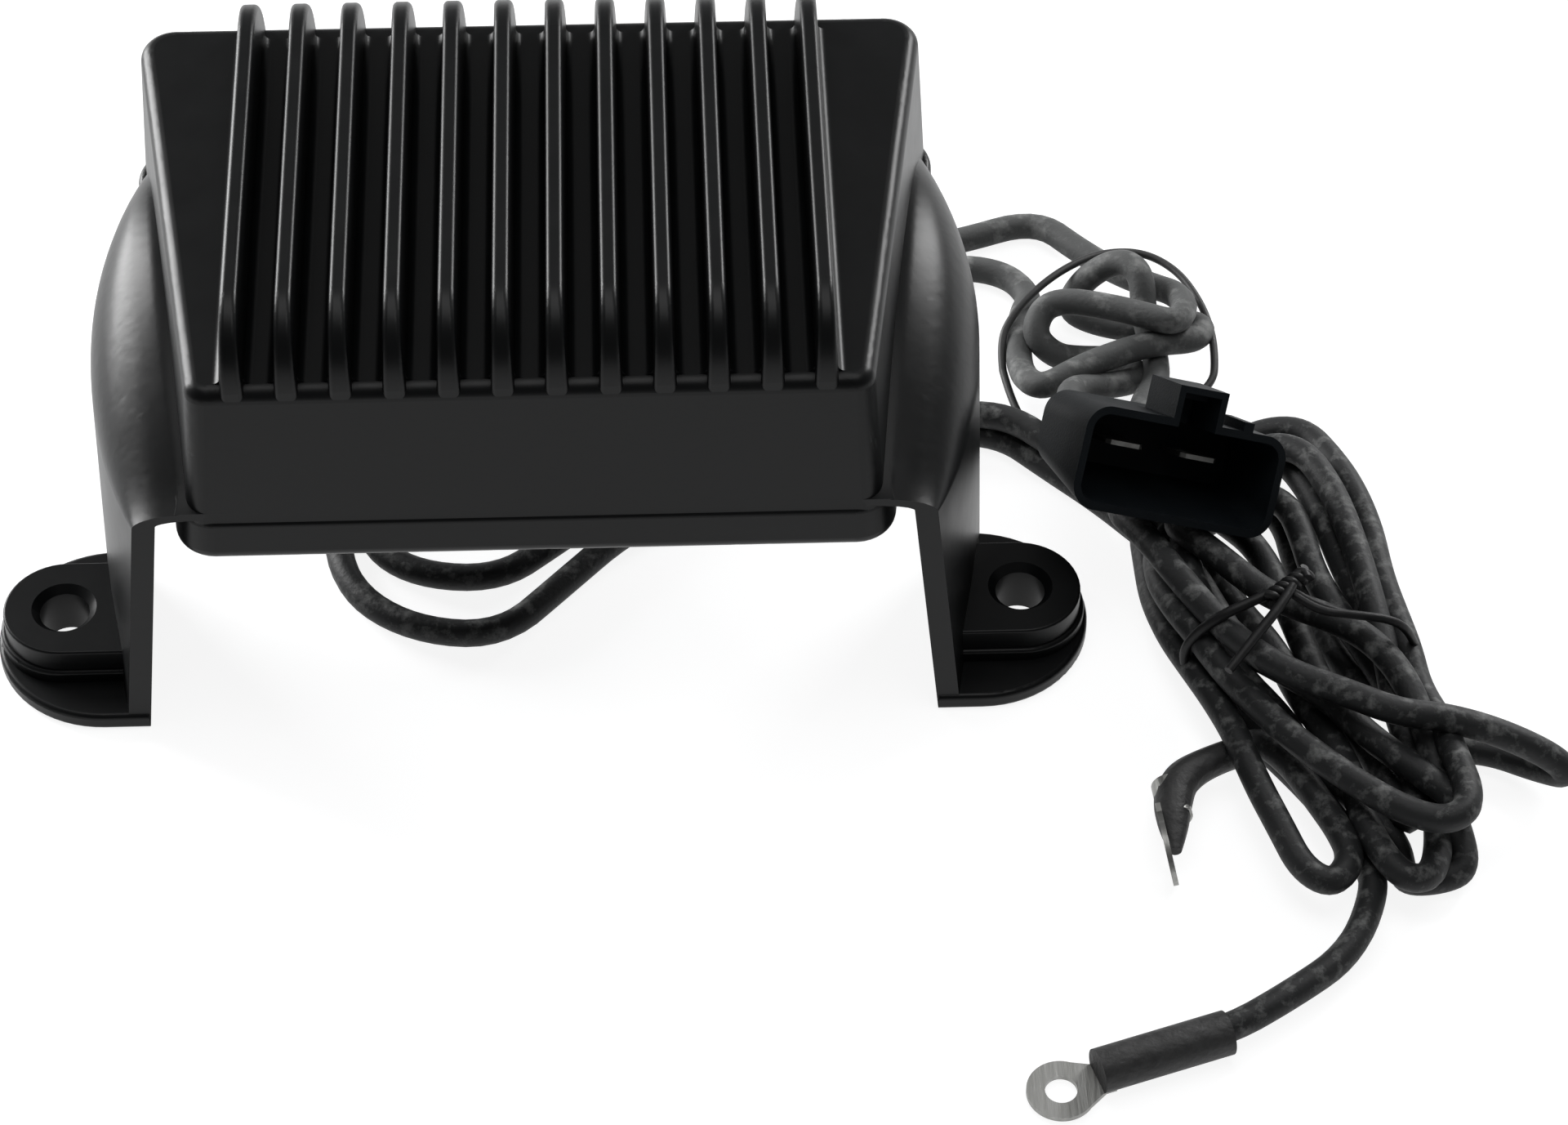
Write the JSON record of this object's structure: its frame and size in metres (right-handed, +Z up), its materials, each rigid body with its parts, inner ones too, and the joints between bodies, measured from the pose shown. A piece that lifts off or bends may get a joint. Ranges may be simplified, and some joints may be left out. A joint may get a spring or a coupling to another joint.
{
  "type": "voltage regulator rectifier",
  "caption": "Black finned regulator-rectifier housing on two drilled feet, with tied rubber leads ending in a bladed connector and ring terminals.",
  "frame": {"origin": "middle of the housing with its feet, at the height of the feet's lower faces", "axes": "+X from the left foot to the right one, +Y along the fins from the front to the back, +Z up"},
  "size_m": [0.298, 0.229, 0.1006],
  "materials": {
    "coated_casting": "black, semi-gloss powder coat on die-cast aluminium",
    "potting": "cast black epoxy, slightly glossy",
    "silicone_pad": "grey silicone",
    "aluminium_plate": "milled",
    "device_case": "moulded epoxy",
    "board_laminate": "solder-masked fibreglass",
    "brass": "bare",
    "capacitor_sleeve": "shrunk sleeve",
    "resistor_body": "lacquered",
    "lead_rubber": "matt, dusty",
    "connector_plastic": "moulded nylon",
    "seal_rubber": "soft",
    "tinned_metal": "tin plated",
    "shrink_sleeve": "shrunk polyolefin",
    "band_rubber": "stretched",
    "tie_plastic": "wire core, plastic cover"
  },
  "bodies": {
    "root": {"housing": "coated_casting", "potting_compound": "potting", "insulator_pad": "silicone_pad", "heat_spreader": "aluminium_plate", "thyristor_a": "device_case", "thyristor_b": "device_case", "diode_a": "device_case", "diode_b": "device_case", "circuit_board": "board_laminate", "board_spacers": "brass", "battery_tab": "brass", "ground_tab": "brass", "stator_tab_a": "brass", "stator_tab_b": "brass", "filter_capacitor": "capacitor_sleeve", "control_transistor": "device_case", "gate_resistor_a": "resistor_body", "gate_resistor_b": "resistor_body", "battery_lead": "lead_rubber", "ground_lead": "lead_rubber", "stator_lead_a": "lead_rubber", "stator_lead_b": "lead_rubber", "stator_tail_a": "lead_rubber", "stator_tail_b": "lead_rubber", "battery_lead_end": "lead_rubber", "ground_lead_end": "lead_rubber", "lead_coil": "lead_rubber", "lead_hank": "lead_rubber", "coil_band": "band_rubber", "hank_tie": "tie_plastic", "connector_shell": "connector_plastic", "connector_lock": "connector_plastic", "seal_retainer": "connector_plastic", "wire_seal_a": "seal_rubber", "wire_seal_b": "seal_rubber", "blade_terminal_a": "tinned_metal", "blade_terminal_b": "tinned_metal", "battery_ring_terminal": "tinned_metal", "ground_ring_terminal": "tinned_metal", "battery_shrink": "shrink_sleeve", "ground_shrink": "shrink_sleeve"}
  },
  "joints": []
}
